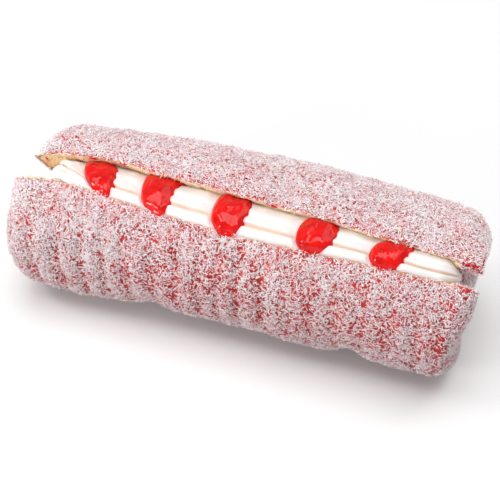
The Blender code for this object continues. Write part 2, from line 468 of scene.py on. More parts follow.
@dataclass(frozen=True)
class CoconutFinish:
    """Desiccated coconut: white shreds, some stained by the jelly under them, with painted shade that greys
    them toward the floor.
    """

    name: str = "coconut"
    white: Color = (0.93, 0.905, 0.912)
    blush: Color = (0.90, 0.76, 0.785)
    stained: Color = (0.80, 0.38, 0.40)
    # Grey of the painted shade on the low shreds.
    shred_shade_grey: Color = (0.62, 0.50, 0.52)
    stained_share: float = 0.22
    drift_scale: float = 75.0
    grain_scale: float = 2600.0
    shred_shade_heights: Span = (0.004, 0.072)

    def material(self) -> bpy.types.Material:
        """Builds the shreds' material, which reads the vertex attribute tint.

        Returns:
            The material.
        """
        paint = Painter(self.name)
        tint = paint.attribute("tint")
        drift = paint.step(paint.noise(self.drift_scale, 2.0), 0.35, 0.68, -0.14, 0.12)
        shade = paint.math("ADD", tint, drift)
        # Painted shade: toward the floor the shreds are painted with less blush, darker and greyer, for the
        # shade on the roll's lower front.
        low = paint.height(*self.shred_shade_heights, 0.0)
        shade = paint.math("MULTIPLY", shade, paint.step(low, 0.0, 1.0, 0.80, 1.0))
        first = 1.0 - self.stained_share
        color = paint.ramp(shade, (0.30, self.white), (first, self.blush), (1.0, self.stained))
        grain = paint.noise(self.grain_scale, 2.0)
        color = paint.mix(paint.step(grain, 0.35, 0.65, 0.10, 0.0), color, self.blush)
        paint.color(paint.mix(paint.step(low, 0.0, 1.0, 0.60, 0.0), color, self.shred_shade_grey))
        paint.fix(Roughness=0.58, Subsurface_Weight=0.0, Specular_IOR_Level=0.35)
        paint.bump(grain, 0.0001, 0.5)
        return paint.material


@dataclass(frozen=True)
class CreamFinish:
    """Whipped cream: nearly white, pink where jam has bled into it, with painted warm shade in its main
    groove and along the lip.
    """

    white: Color = (0.80, 0.778, 0.762)
    mottled: Color = (0.77, 0.74, 0.745)
    # Peach of the painted warm shade in the main groove and along the lip.
    groove: Color = (0.78, 0.60, 0.48)
    stain: Color = (0.80, 0.48, 0.50)
    mottle_scale: float = 300.0
    sheen_scale: float = 500.0
    grain_scale: float = 900.0
    light_reach: Triple = (0.0021, 0.0015, 0.0011)

    def material(self) -> bpy.types.Material:
        """Builds the cream's material, which reads the vertex attributes groove and stain.

        Returns:
            The material.
        """
        paint = Painter("whipped_cream_piped")
        mottle = paint.step(paint.noise(self.mottle_scale, 3.0), 0.3, 0.7, 0.0, 0.12)
        white = paint.mix(mottle, self.white, self.mottled)
        # Painted shade: the groove attribute tints the main groove and the lip edge peach, for the warm
        # bounced light and shade there.
        color = paint.mix(paint.attribute("groove"), white, self.groove)
        paint.color(paint.mix(paint.attribute("stain"), color, self.stain))
        paint.roughness(paint.step(paint.noise(self.sheen_scale, 2.0), 0.3, 0.7, 0.34, 0.50))
        paint.bump(paint.noise(self.grain_scale, 3.0), 0.00018, 0.5)
        paint.fix(Subsurface_Weight=0.50, Subsurface_Radius=self.light_reach, Subsurface_Scale=1.0,
                  Specular_IOR_Level=0.45)
        return paint.material


@dataclass(frozen=True)
class JamFinish:
    """Set raspberry jam: deep clear red with a wet shine."""

    red: Color = (0.70, 0.003, 0.002)
    # Deep red of random patches, also used for the painted shade under the flap.
    deep: Color = (0.50, 0.002, 0.001)
    bright: Color = (0.80, 0.012, 0.009)
    body_scale: float = 190.0
    sheen_scale: float = 380.0
    grain_scale: float = 430.0
    light_reach: Triple = (0.003, 0.0004, 0.0003)

    def material(self) -> bpy.types.Material:
        """Builds the jam's material, which darkens the part of each dollop toward the flap as painted shade,
        read from a vertex attribute.

        Returns:
            The material.
        """
        paint = Painter("raspberry_jam_wet")
        body = paint.noise(self.body_scale, 3.0)
        color = paint.ramp(body, (0.30, self.deep), (0.52, self.red), (0.80, self.bright))
        # Painted shade: the part of each dollop toward the flap is mixed to deep red, for the flap's shade.
        paint.color(paint.mix(paint.step(paint.attribute("upper"), 0.45, 0.95, 0.0, 0.85), color, self.deep))
        paint.roughness(paint.step(paint.noise(self.sheen_scale, 2.0), 0.35, 0.7, 0.04, 0.09))
        paint.bump(paint.noise(self.grain_scale, 2.0), 0.0004, 0.32)
        paint.fix(Subsurface_Weight=0.12, Subsurface_Radius=self.light_reach, IOR=1.40,
                  Specular_IOR_Level=0.50)
        return paint.material


# ---------------------------------------------------------------- the roll's form


@dataclass(frozen=True)
class RollForm:
    """Outer surface and split of the roll, as the solids have them.

    The holds and bands are angles with a spread. The other spans run from where a change starts
    to where it is complete. Bellies are station, spread and height, and an edge's knots are
    station and angle.
    """

    length: float = 0.240
    height: float = 0.078
    half_width: float = 0.0487
    half_width_loss: float = 0.0033
    half_width_skew: float = 0.0013
    bend: float = 0.0070
    bend_skew: float = 0.0015
    centre: float = 0.0012
    section_power: float = 2.15
    base_sink: float = 0.0022
    end_radius: float = 0.0135
    mouth_hold: float = 0.80
    lip_hold: Span = (70.0, 20.0)
    flap_hold: Span = (-280.0, 13.0)
    left_shear: float = 0.06
    left_hollow: float = 0.0096
    right_hollow: float = 0.0085
    right_lean: float = 0.0064
    rib_pitch: float = 0.0121
    rib_height: float = 0.0013
    rib_top: Span = (34.0, 9.0)
    rib_back: Span = (-150.0, -70.0)
    rib_foot: Span = (-40.0, 10.0)
    rib_fading: Span = (-0.02, 0.05)
    crown_pitch: float = 0.0150
    crown_height: float = 0.0002
    crown_band: Span = (135.0, 38.0)
    belly_band: Span = (-46.0, 34.0)
    lump_height: float = 0.0005
    slant_start: float = 0.060
    edge_window: float = 0.009
    bellies: tuple[Triple, ...] = (
        (-0.080, 0.016, 0.0012),
        (-0.041, 0.008, -0.0026),
        (0.036, 0.017, 0.0016),
        (0.064, 0.007, -0.0040),
        (0.114, 0.014, -0.0022),
    )
    flap_edge: Knots = ((-0.120, 83.0), (-0.111, 82.6), (-0.100, 83.8), (-0.092, 84.8),
                        (-0.066, 85.3), (-0.054, 81.8), (-0.026, 79.3),
                        (0.001, 76.8), (0.032, 75.3), (0.053, 73.5), (0.069, 71.8), (0.098, 70.8),
                        (0.108, 70.4), (0.120, 70.4))
    lip_edge: Knots = ((-0.120, 62.5), (-0.097, 64.0), (-0.078, 60.9), (-0.056, 56.8), (-0.027, 52.6),
                       (0.010, 49.8), (0.041, 51.0), (0.073, 52.8), (0.098, 53.4), (0.120, 55.2))
    hinge_back: float = 0.0220
    hinge_height: float = 0.0215
    hinge_gap: float = 0.0016

    def centre_y(self, x: np.ndarray) -> np.ndarray:
        """Y of the section's middle."""
        u = 2.0 * x / self.length
        return self.centre - self.bend_skew * u - self.bend * u * u

    def end_inset(self, x: np.ndarray) -> np.ndarray:
        """How far the section shrinks toward the rounded end rims."""
        left = np.clip((self.length / 2 - np.abs(x)) / self.end_radius, 0.0, 1.0)
        return self.end_radius * (1.0 - np.sqrt(1.0 - (1.0 - left) ** 2))

    def edge_angle(self, side: Side, x: np.ndarray) -> np.ndarray:
        """Angle of a mouth edge round the section, at each station.

        Args:
            side: which edge.
            x: stations.

        Returns:
            Degrees, 90 at the crown.
        """
        table = self.flap_edge if side is Side.FLAP else self.lip_edge
        spots, angles = zip(*table)
        around = np.asarray(x)[..., None] + np.linspace(-self.edge_window, self.edge_window, 7)
        return np.interp(around, spots, angles).mean(axis=-1)

    def relief(self, x: np.ndarray, degrees: np.ndarray) -> np.ndarray:
        """Height of ribs, waves and bellies; x and degrees have the same shape.

        Args:
            x: stations.
            degrees: angles, 0 at the front and 90 at the crown.

        Returns:
            Metres above the plain section.
        """
        angle = np.radians(degrees)
        waves = np.sin(2 * math.pi * x / self.crown_pitch + 1.2 * np.sin(x / 0.034))
        low = sum(height * bell(x, spot, spread) for spot, spread, height in self.bellies)
        lumps = self.lump_height * np.sin(3.0 * angle + 31.0 * x) * np.sin(x / 0.017)
        crown = self.crown_height * waves * bell(degrees, *self.crown_band)
        return self.rib_height * self.ribs(x, degrees) + crown + low * bell(degrees, *self.belly_band) + lumps

    def ribs(self, x: np.ndarray, degrees: np.ndarray, lowest: float = 0.10) -> np.ndarray:
        """Ribs of the front as a wave from -1 in the grooves to 1 on the pillows.

        Args:
            x: stations.
            degrees: angles, 0 at the front and 90 at the crown.
            lowest: share of the wave left at the foot of the front.

        Returns:
            The wave at each point.
        """
        wander = 0.9 * np.sin(x / 0.021) + 0.6 * np.sin(x / 0.0093 + 1.0)
        top, softness = self.rib_top
        front = 1.0 / (1.0 + np.exp((degrees - top) / softness)) * ease(degrees, *self.rib_back)
        front = front * (lowest + (1.0 - lowest) * ease(degrees, *self.rib_foot))
        front = front * (1.0 - 0.45 * ease(x, *self.rib_fading)) * (0.80 + 0.20 * np.sin(x / 0.0135 + 0.8))
        turn = 2 * math.pi * x / self.rib_pitch + wander + 0.5 * np.sin(2.0 * np.radians(degrees))
        return (1.0 - 2.0 * (0.5 - 0.5 * np.sin(turn)) ** 1.1) * front

    def outer(self, x: np.ndarray, degrees: np.ndarray, sink: float = 0.0) -> np.ndarray:
        """Points (y, z) of the outer surface; x and degrees have the same shape.

        Args:
            x: stations.
            degrees: angles, 0 at the front and 90 at the crown.
            sink: depth below the outer surface.

        Returns:
            Array with y and z on its last axis.
        """
        angle = np.radians(degrees)
        u = 2.0 * x / self.length
        hold = self.mouth_hold * (bell(degrees, *self.lip_hold) + bell(degrees, *self.flap_hold))
        inset = self.end_inset(x) * (1.0 - hold)
        wide = self.half_width - self.half_width_skew * u - self.half_width_loss * u * u - inset - sink
        tall = (self.height + self.base_sink) / 2 - inset - sink
        rise = self.relief(x, degrees) * (1.0 - 0.6 * inset / self.end_radius)
        across = signed_power(np.cos(angle), 2.0 / self.section_power)
        upward = signed_power(np.sin(angle), 2.0 / self.section_power)
        y = self.centre_y(x) - (wide + rise) * across
        z = (self.height - self.base_sink) / 2 + (tall + rise) * upward
        return np.stack([y, np.maximum(z, 0.0)], axis=-1)

    def hinge(self, x: np.ndarray) -> np.ndarray:
        """Bottom of the split at each station, as (y, z) points."""
        return np.stack([self.centre_y(x) + self.hinge_back, np.full_like(x, self.hinge_height)], axis=-1)

    def mouth(self, x: np.ndarray, sink: float) -> tuple[np.ndarray, np.ndarray, np.ndarray]:
        """The split's three lines at each station, as (y, z) points.

        Args:
            x: stations.
            sink: depth of the two edges below the outer surface.

        Returns:
            Flap edge, lip edge and hinge.
        """
        flap = self.outer(x, self.edge_angle(Side.FLAP, x), sink)
        lip = self.outer(x, self.edge_angle(Side.LIP, x), sink)
        return flap, lip, self.hinge(x)

    def slant(self, x: np.ndarray, y: np.ndarray) -> np.ndarray:
        """X of points once the left end's slant is taken in."""
        weight = np.clip((-x - self.slant_start) / (self.length / 2 - self.slant_start), 0.0, 1.0) ** 2
        return x + self.left_shear * weight * (y - self.centre_y(x) + 0.035)


FORM = RollForm()


@dataclass
class SpongeRoll:
    """The sponge: outside soaked in jelly, cut faces of golden crumb.

    Spans run from the station where a change starts to the one where it is complete. The rind is
    the red rim of the cut faces, as a share of the way down them.
    """

    stations: int = 286
    rim_stations: int = 15
    outer_points: int = 194
    face_points: int = 30
    skin_depth: float = 0.0006
    lump_height: float = 0.00045
    lump_size: float = 0.0085
    pebble_height: float = 0.00022
    pebble_size: float = 0.0026
    crumb_height: float = 0.00028
    crumb_grain: float = 0.0016
    crumb_lump: float = 0.0042
    crumb_end: Span = (0.1130, 0.1090)
    edge_jitter: float = 0.45
    end_reach: float = 0.016
    cap_spacing: float = 0.0019
    cap_margin: float = 0.0011
    cap_lump: float = 0.0006
    right_fill: float = 0.16
    right_closing: Span = (0.1060, 0.1115)
    right_coating: Span = (0.1075, 0.1105)
    left_coating: Span = (-0.1188, -0.1199)
    left_ragged: float = 0.0012
    rind_start: float = 0.0002
    rind_end: float = 0.0008
    rind_ragged: float = 0.0030
    lip_soak: float = 0.25
    cap_cover: float = 0.85
    finish: SpongeFinish = field(default_factory=SpongeFinish)

    def station_row(self) -> np.ndarray:
        """Stations along the roll, closer together round the end rims.

        Returns:
            Their x, rising.
        """
        turn = np.linspace(0.0, math.pi / 2, self.rim_stations, endpoint=False)
        rim = FORM.end_radius * (1.0 - np.cos(turn))
        inner = FORM.length / 2 - FORM.end_radius
        middle = np.linspace(-inner, inner, self.stations)
        return np.concatenate([-FORM.length / 2 + rim, middle, (FORM.length / 2 - rim)[::-1]])

    def edge_wander(self, x: np.ndarray, seed: float) -> np.ndarray:
        """Unevenness of a mouth edge in degrees.

        Args:
            x: stations.
            seed: moves the pattern.

        Returns:
            Degrees to add to the edge's angle.
        """
        line = np.stack([x, np.full_like(x, seed), np.zeros_like(x)], axis=-1)
        return self.edge_jitter * (perlin(line, 0.009, seed) + 0.6 * perlin(line, 0.0035, seed + 5.0))

    def face_shares(self) -> np.ndarray:
        """Places down a cut face, close together near its edge."""
        return np.linspace(0.0, 1.0, self.face_points + 2)[1:-1] ** 1.7

    def rings(self) -> tuple[np.ndarray, np.ndarray, np.ndarray, np.ndarray]:
        """Rings of the sponge with what the colours need to know of each point.

        Returns:
            Points (stations, points, 3), depth down the cut faces, 1 for coat or 0 for crumb,
            and the angle round the section.
        """
        x = self.station_row()
        lip_angle = FORM.edge_angle(Side.LIP, x) + self.edge_wander(x, 3.0)
        flap_angle = FORM.edge_angle(Side.FLAP, x) + self.edge_wander(x, 11.0)
        share = np.linspace(0.0, 1.0, self.outer_points)[None, :]
        degrees = lip_angle[:, None] + (flap_angle - 360.0 - lip_angle)[:, None] * share
        wide_x = np.repeat(x[:, None], self.outer_points, axis=1)
        outside = FORM.outer(wide_x, degrees, self.skin_depth)
        hinge = FORM.hinge(x)
        lip, flap = outside[:, 0], outside[:, -1]
        shallow = (flap + lip) / 2 + (hinge - (flap + lip) / 2) * self.right_fill
        closing = ease(x, *self.right_closing)[:, None]
        hinge = hinge + (shallow - hinge) * closing
        inward = hinge - (flap + lip) / 2
        inward /= np.linalg.norm(inward, axis=-1, keepdims=True)
        side = np.stack([-inward[:, 1], inward[:, 0]], axis=-1) * FORM.hinge_gap / 2
        down = self.face_shares()
        side *= 1.0 + 0.6 * closing
        flap_face = flap[:, None] + (hinge + side - flap)[:, None] * down[None, :, None]
        lip_face = lip[:, None] + (hinge - side - lip)[:, None] * down[None, ::-1, None]
        bottom = np.stack([hinge + side, hinge - side], axis=1)
        ring = np.concatenate([outside, flap_face, bottom, lip_face], axis=1)
        depth = np.concatenate([np.zeros(self.outer_points), down, [1.0, 1.0], down[::-1]])
        coat = np.concatenate([np.ones(self.outer_points), np.zeros(2 * self.face_points + 2)])
        slanted = FORM.slant(np.repeat(x[:, None], ring.shape[1], axis=1), ring[..., 0])
        slanted += self.end_pull(x, degrees, depth)
        points = np.concatenate([slanted[..., None], ring], axis=-1)
        turn = np.concatenate([degrees, np.full((len(x), 2 * self.face_points + 2), 90.0)], axis=1)
        return points, np.broadcast_to(depth, turn.shape), np.broadcast_to(coat, turn.shape), turn

    def end_pull(self, x: np.ndarray, degrees: np.ndarray, depth: np.ndarray) -> np.ndarray:
        """How far each point is pulled in from the roll's ends, along +X.

        Args:
            x: stations.
            degrees: angles of the outer points.
            depth: share of the way down the cut faces, one ring.

        Returns:
            Metres to add to x, as (stations, ring points).
        """
        near = np.clip((np.abs(x) - FORM.length / 2 + self.end_reach) / self.end_reach, 0.0, 1.0)[:, None]
        inner = depth[self.outer_points:][None, :]
        right_out = bell(degrees, -122.0, 56.0)
        right_in = np.broadcast_to(np.clip(inner / 0.07, 0.0, 1.0), (len(x), inner.shape[1]))
        right_out = right_out + FORM.right_lean / FORM.right_hollow * bell(degrees, -10.0, 36.0)
        right = -FORM.right_hollow * near * np.concatenate([right_out, right_in], axis=1)
        left_out = 0.62 * bell(degrees, FORM.flap_edge[0][1] - 360.0, 9.0)
        left_in = np.broadcast_to(np.maximum(inner, 0.02) ** 0.3, (len(x), inner.shape[1]))
        left = FORM.left_hollow * near * np.concatenate([left_out, left_in], axis=1)
        return np.where(x[:, None] > 0, right, left)

    def roughen(self, points: np.ndarray, coat: np.ndarray) -> np.ndarray:
        """Pushes points in and out along their normals: lumps on the coat, crumb on the cuts.

        Args:
            points: ring points as (stations, ring points, 3).
            coat: 1 for coat or 0 for crumb.

        Returns:
            The moved points.
        """
        normal = grid_normals(points)
        base = ease(points[..., 2], 0.0, 0.004)
        lumps = self.lump_height * perlin(points, self.lump_size, 2.0)
        lumps = lumps + self.pebble_height * perlin(points, self.pebble_size, 7.0)
        crumb = perlin(points, self.crumb_grain, 9.0) + 0.8 * perlin(points, self.crumb_lump, 4.0)
        crumb = self.crumb_height * crumb
        push = np.where(coat > 0.5, lumps * base, crumb * ease(np.abs(points[..., 0]), *self.crumb_end))
        return points + normal * push[..., None]

    def cap(self, ring: np.ndarray, first_index: int, out: float) -> tuple[np.ndarray, list]:
        """Fills one end of the roll inside its last ring.

        Args:
            ring: the end ring's points.
            first_index: index of the ring's first vertex in the mesh.
            out: -1 at the left end, 1 at the right.

        Returns:
            Points to add after the mesh's own, and faces whose indices below the ring's length
            mean ring points; the caller shifts them.
        """
        outline = ring[:, 1:]
        low, high = outline.min(axis=0), outline.max(axis=0)
        ys, zs = (np.arange(low[k], high[k], self.cap_spacing) for k in range(2))
        spots = np.stack(np.meshgrid(ys, zs), axis=-1).reshape(-1, 2)
        spots[::2] += 0.3 * self.cap_spacing
        spots = spots[inside(spots, outline)]
        reach = np.linalg.norm(spots[:, None] - outline[None], axis=-1)
        clear = reach.min(axis=1) > self.cap_margin
        spots, reach = spots[clear], reach[clear]
        weight = 1.0 / reach ** 2.5
        x = (weight * ring[None, :, 0]).sum(axis=1) / weight.sum(axis=1)
        place = np.column_stack([x, spots])
        place[:, 0] += out * self.cap_lump * perlin(place, 0.007, 3.0) * ease(reach.min(axis=1), 0.0, 0.004)
        corners = [Vector(p) for p in np.vstack([outline, spots])]
        count = len(outline)
        border = [(k, (k + 1) % count) for k in range(count)]
        result = geometry.delaunay_2d_cdt(corners, border, [], 1, 1e-7)
        origin = [ids[0] for ids in result[3]]
        faces = [[origin[k] for k in face] for face in result[2]]
        return place, [[k if k < count else k - count + first_index for k in face] for face in faces]

    def build(self) -> bpy.types.Object:
        """Makes the sponge with the attributes soak and cover.

        Returns:
            The sponge's object.
        """
        points, depth, coat, degrees = self.rings()
        points = self.roughen(points, coat)
        rings, count = points.shape[:2]
        flat = points.reshape(-1, 3)
        faces = ring_faces(rings, count).tolist()
        extra: list[np.ndarray] = []
        for ring_index, out in ((0, -1.0), (rings - 1, 1.0)):
            start = len(flat) + sum(len(e) for e in extra)
            added, cap_faces = self.cap(points[ring_index], start, out)
            shift = ring_index * count
            faces += [[k + shift if k < count else k for k in face] for face in cap_faces]
            extra.append(added)
        every = np.vstack([flat, *extra])
        roll = mesh_object("sponge_body", every, faces)
        face_outward(roll)
        soak, cover = self.soak_and_cover(points, depth, coat, degrees)
        tail = np.ones(sum(len(e) for e in extra))
        set_attribute(roll, "soak", np.concatenate([soak.ravel(), tail]))
        set_attribute(roll, "cover", np.concatenate([cover.ravel(), self.cap_cover * tail]))
        finish_piece(roll, self.finish.material(), "coated_sponge", "sponge_roll")
        return roll

    def soak_and_cover(self, points: np.ndarray, depth: np.ndarray, coat: np.ndarray,
                       degrees: np.ndarray) -> tuple[np.ndarray, np.ndarray]:
        """Share of jelly and share of coconut at each ring point.

        Args:
            points: ring points.
            depth: share of the way down the cut faces.
            coat: 1 for coat or 0 for crumb.
            degrees: angle of each point.

        Returns:
            Share of jelly, and strength of the coconut.
        """
        x = points[..., 0]
        ragged = 0.5 + 0.5 * perlin(points, 0.0045, 6.0)
        rind = ease(depth, self.rind_end + self.rind_ragged * ragged, self.rind_start)
        uneven = self.station_row()[:, None] - self.left_ragged * ragged
        end_coat = ease(x, *self.right_coating) + ease(uneven, *self.left_coating)
        from_lip = FORM.edge_angle(Side.LIP, x[:, 0])[:, None] - degrees
        from_flap = degrees + 360.0 - FORM.edge_angle(Side.FLAP, x[:, 0])[:, None]
        golden = 0.75 * ease(from_lip, 1.3 + 1.2 * ragged, 0.4)
        golden = golden + 0.45 * ease(from_flap, 0.9 + 0.8 * ragged, 0.1)
        soak = np.where(coat > 0.5, 1.0 - golden, rind * self.flap_side(depth.shape))
        soak = np.clip(np.maximum(soak, end_coat), 0.0, 1.0)
        under = ease(points[..., 2], 0.0005, 0.006)
        patches = 1.0 + 0.24 * perlin(points, 0.011, 1.0) + 0.30 * perlin(points, 0.0030, 5.0)
        ribs = 1.0 + 0.52 * FORM.ribs(x, degrees, 0.75)
        rims = 0.45 + 0.55 * ease(from_lip, 0.6, 3.4 + ragged)
        rims = rims * (0.45 + 0.55 * ease(from_flap, 0.5, 2.6 + ragged))
        crown = 0.42 + 0.54 * ease(degrees, -5.0, 80.0) + 0.53 * ease(degrees, -170.0, -230.0)
        crown = crown + 0.34 * ease(x, -0.035, -0.085) * bell(degrees, 30.0, 30.0)
        cover = np.where(coat > 0.5, patches * ribs * rims * crown * (0.35 + 0.65 * under), 0.5 * end_coat)
        return soak, np.clip(cover, 0.0, 1.5)

    def flap_side(self, shape: tuple[int, ...]) -> np.ndarray:
        """How much of the jelly's rim each side shows.

        Args:
            shape: stations and points of a ring.

        Returns:
            1 on the flap's cut face and lip_soak on the lip's.
        """
        side = np.full(shape, self.lip_soak)
        side[:, : self.outer_points + self.face_points + 1] = 1.0
        return side


# ---------------------------------------------------------------- coconut


class Shred(Enum):
    """Templates of coconut shred: unit half length, half width and half thickness."""

    KITE = "kite"
    TWIST = "twist"
    STRIP = "strip"

    def mesh(self) -> bpy.types.Mesh:
        """Makes the closed template mesh.

        Returns:
            The mesh.
        """
        if self is Shred.KITE:
            points = [(-1.0, 0.0, -0.6), (1.0, 0.1, -0.6), (0.1, 1.0, 0.7), (0.0, -1.0, 0.7)]
            faces = [(0, 3, 2), (1, 2, 3), (0, 2, 1), (0, 1, 3)]
        elif self is Shred.TWIST:
            points = [(-1.0, 1.0, 0.0), (-1.0, -1.0, 0.0), (1.0, 0.1, 1.0), (1.0, -0.1, -1.0)]
            faces = [(0, 1, 2), (0, 3, 1), (0, 2, 3), (1, 3, 2)]
        else:
            turns = np.linspace(0.0, 2 * math.pi, 3, endpoint=False) + 0.5
            points = [(end * (1.0 - 0.12 * k), size * math.cos(t), size * math.sin(t))
                      for end, size in ((-1.0, 1.0), (1.0, 0.72)) for k, t in enumerate(turns)]
            faces = [(0, 2, 1), (3, 4, 5)] + [(k, (k + 1) % 3, 3 + (k + 1) % 3, 3 + k) for k in range(3)]
        mesh = bpy.data.meshes.new(f"shred_{self.value}")
        mesh.from_pydata(points, [], faces)
        work = bmesh.new()
        work.from_mesh(mesh)
        bmesh.ops.triangulate(work, faces=work.faces)
        bmesh.ops.recalc_face_normals(work, faces=work.faces)
        work.to_mesh(mesh)
        work.free()
        return mesh


@dataclass(frozen=True)
class ShredLot:
    """One kind of shred: how many to a square metre, how large, how it lies."""

    name: str
    shapes: tuple[Shred, ...]
    density: float
    length: tuple[float, float]
    width: tuple[float, float]
    thickness: tuple[float, float]
    lift: tuple[float, float]
    tilt: float
    seed: int
    finish: CoconutFinish


@dataclass
class CoconutCoat:
    """Coconut strewn over the sponge by one node tree, one piece for each lot of shreds."""

    lots: tuple[ShredLot, ...]

    @staticmethod
    def tree() -> bpy.types.GeometryNodeTree:
        """Node tree that strews instances over the host's faces, weighted by the attribute cover.

        Returns:
            The node tree.
        """
        tree = bpy.data.node_groups.new("strew_shreds", "GeometryNodeTree")
        sockets = (("Geometry", "Geometry"), ("Shapes", "Collection"), ("Density", "Float"), ("Seed", "Int"),
                   ("Smallest", "Vector"), ("Largest", "Vector"), ("Lowest", "Float"), ("Highest", "Float"),
                   ("Tilt", "Float"), ("Material", "Material"))
        for name, kind in sockets:
            tree.interface.new_socket(name=name, in_out="INPUT", socket_type=f"NodeSocket{kind}")
        tree.interface.new_socket(name="Geometry", in_out="OUTPUT", socket_type="NodeSocketGeometry")
        add, link = tree.nodes.new, tree.links.new
        given = add("NodeGroupInput").outputs
        cover = add("GeometryNodeInputNamedAttribute")
        cover.inputs["Name"].default_value = "cover"
        density = add("ShaderNodeMath")
        density.operation = "MULTIPLY"
        link(given["Density"], density.inputs[0])
        link(cover.outputs["Attribute"], density.inputs[1])
        strew = add("GeometryNodeDistributePointsOnFaces")
        link(given["Geometry"], strew.inputs["Mesh"])
        link(density.outputs[0], strew.inputs["Density"])
        link(given["Seed"], strew.inputs["Seed"])

        def random(kind: str, low: object, high: object, offset: int) -> bpy.types.NodeSocket:
            """One random value for each shred.

            Args:
                kind: data type of the value.
                low: least value, a socket or a number.
                high: greatest value, a socket or a number.
                offset: added to the seed, so that each use differs.

            Returns:
                The value's socket.
            """
            node = add("FunctionNodeRandomValue")
            node.data_type = kind
            limits = [s for s in node.inputs if s.enabled and s.name in ("Min", "Max")]
            for socket, value in zip(limits, (low, high)):
                if isinstance(value, bpy.types.NodeSocket):
                    link(value, socket)
                else:
                    socket.default_value = value
            shifted = add("FunctionNodeIntegerMath")
            shifted.inputs[1].default_value = offset
            link(given["Seed"], shifted.inputs[0])
            link(shifted.outputs[0], node.inputs["Seed"])
            return next(s for s in node.outputs if s.enabled)

        rise = add("ShaderNodeVectorMath")
        rise.operation = "SCALE"
        link(strew.outputs["Normal"], rise.inputs[0])
        link(random("FLOAT", given["Lowest"], given["Highest"], 1), rise.inputs["Scale"])
        lifted = add("GeometryNodeSetPosition")
        link(strew.outputs["Points"], lifted.inputs["Geometry"])
        link(rise.outputs[0], lifted.inputs["Offset"])
        tinted = add("GeometryNodeStoreNamedAttribute")
        tinted.data_type = "FLOAT"
        tinted.inputs["Name"].default_value = "tint"
        link(lifted.outputs[0], tinted.inputs["Geometry"])
        link(random("FLOAT", 0.0, 1.0, 2), next(s for s in tinted.inputs if s.name == "Value" and s.enabled))
        tilt_down = add("ShaderNodeMath")
        tilt_down.operation = "MULTIPLY"
        tilt_down.inputs[1].default_value = -1.0
        link(given["Tilt"], tilt_down.inputs[0])
        spin = add("ShaderNodeCombineXYZ")
        link(random("FLOAT", tilt_down.outputs[0], given["Tilt"], 3), spin.inputs["Y"])
        link(random("FLOAT", 0.0, 2 * math.pi, 4), spin.inputs["Z"])
        link(random("FLOAT", -math.pi, math.pi, 6), spin.inputs["X"])
        turn = add("FunctionNodeEulerToRotation")
        link(spin.outputs[0], turn.inputs[0])
        settle = add("FunctionNodeRotateRotation")
        settle.rotation_space = "LOCAL"
        link(strew.outputs["Rotation"], settle.inputs[0])
        link(turn.outputs[0], settle.inputs[1])
        shapes = add("GeometryNodeCollectionInfo")
        shapes.inputs["Separate Children"].default_value = True
        shapes.inputs["Reset Children"].default_value = True
        link(given["Shapes"], shapes.inputs["Collection"])
        place = add("GeometryNodeInstanceOnPoints")
        place.inputs["Pick Instance"].default_value = True
        link(tinted.outputs[0], place.inputs["Points"])
        link(shapes.outputs[0], place.inputs["Instance"])
        link(settle.outputs[0], place.inputs["Rotation"])
        link(random("FLOAT_VECTOR", given["Smallest"], given["Largest"], 5), place.inputs["Scale"])
        real = add("GeometryNodeRealizeInstances")
        link(place.outputs[0], real.inputs[0])
        dressed = add("GeometryNodeSetMaterial")
        link(real.outputs[0], dressed.inputs["Geometry"])
        link(given["Material"], dressed.inputs["Material"])
        link(dressed.outputs[0], add("NodeGroupOutput").inputs[0])
        return tree

    @staticmethod
    def press_flat(mesh: bpy.types.Mesh, above: float = 0.0006, share: float = 0.35) -> None:
        """Presses the shreds under the roll toward the surface it rests on.

        Args:
            mesh: shreds, changed in place.
            above: height under which points are pressed.
            share: share of their distance below that height that is left.
        """
        spots = np.empty(len(mesh.vertices) * 3)
        mesh.vertices.foreach_get("co", spots)
        low = spots[2::3]
        spots[2::3] = np.where(low < above, above + (low - above) * share, low)
        mesh.vertices.foreach_set("co", spots)

    @staticmethod
    def strew(roll: bpy.types.Object, tree: bpy.types.GeometryNodeTree, lot: ShredLot,
              shapes: bpy.types.Collection, material: bpy.types.Material) -> bpy.types.Mesh:
        """Runs the node tree for one lot.

        Args:
            roll: the sponge that the shreds lie on.
            tree: the node tree.
            lot: what to strew.
            shapes: templates to pick from.
            material: material of the shreds.

        Returns:
            The shreds as one plain mesh.
        """
        host = bpy.data.objects.new("strewing", roll.data)
        bpy.context.scene.collection.objects.link(host)
        modifier = host.modifiers.new("strew", "NODES")
        modifier.node_group = tree
        sizes = (lot.length, lot.width, lot.thickness)
        values = {
            "Shapes": shapes,
            "Density": lot.density,
            "Seed": lot.seed,
            "Smallest": tuple(s[0] / 2 for s in sizes),
            "Largest": tuple(s[1] / 2 for s in sizes),
            "Lowest": lot.lift[0],
            "Highest": lot.lift[1],
            "Tilt": math.radians(lot.tilt),
            "Material": material,
        }
        identifiers = {s.name: s.identifier for s in tree.interface.items_tree if s.in_out == "INPUT"}
        for name, value in values.items():
            modifier[identifiers[name]] = value
        evaluated = host.evaluated_get(bpy.context.evaluated_depsgraph_get())
        mesh = bpy.data.meshes.new_from_object(evaluated)
        bpy.data.objects.remove(host)
        mesh.name = lot.name
        mesh.polygons.foreach_set("use_smooth", [False] * len(mesh.polygons))
        return mesh

    def build(self, roll: bpy.types.Object) -> None:
        """Strews every lot over the sponge, one piece for each.

        Args:
            roll: the sponge, with the attribute cover.
        """
        tree = self.tree()
        templates = {shape: bpy.data.objects.new(f"template_{shape.name}", shape.mesh()) for shape in Shred}
        for lot in self.lots:
            shapes = bpy.data.collections.new(f"shapes_{lot.name}")
            for shape in lot.shapes:
                shapes.objects.link(templates[shape])
            material = lot.finish.material()
            mesh = self.strew(roll, tree, lot, shapes, material)
            self.press_flat(mesh)
            piece = bpy.data.objects.new(lot.name, mesh)
            bpy.context.scene.collection.objects.link(piece)
            finish_piece(piece, material, "coated_sponge")
            bpy.data.collections.remove(shapes)
        for template in templates.values():
            bpy.data.objects.remove(template)


# ---------------------------------------------------------------- cream


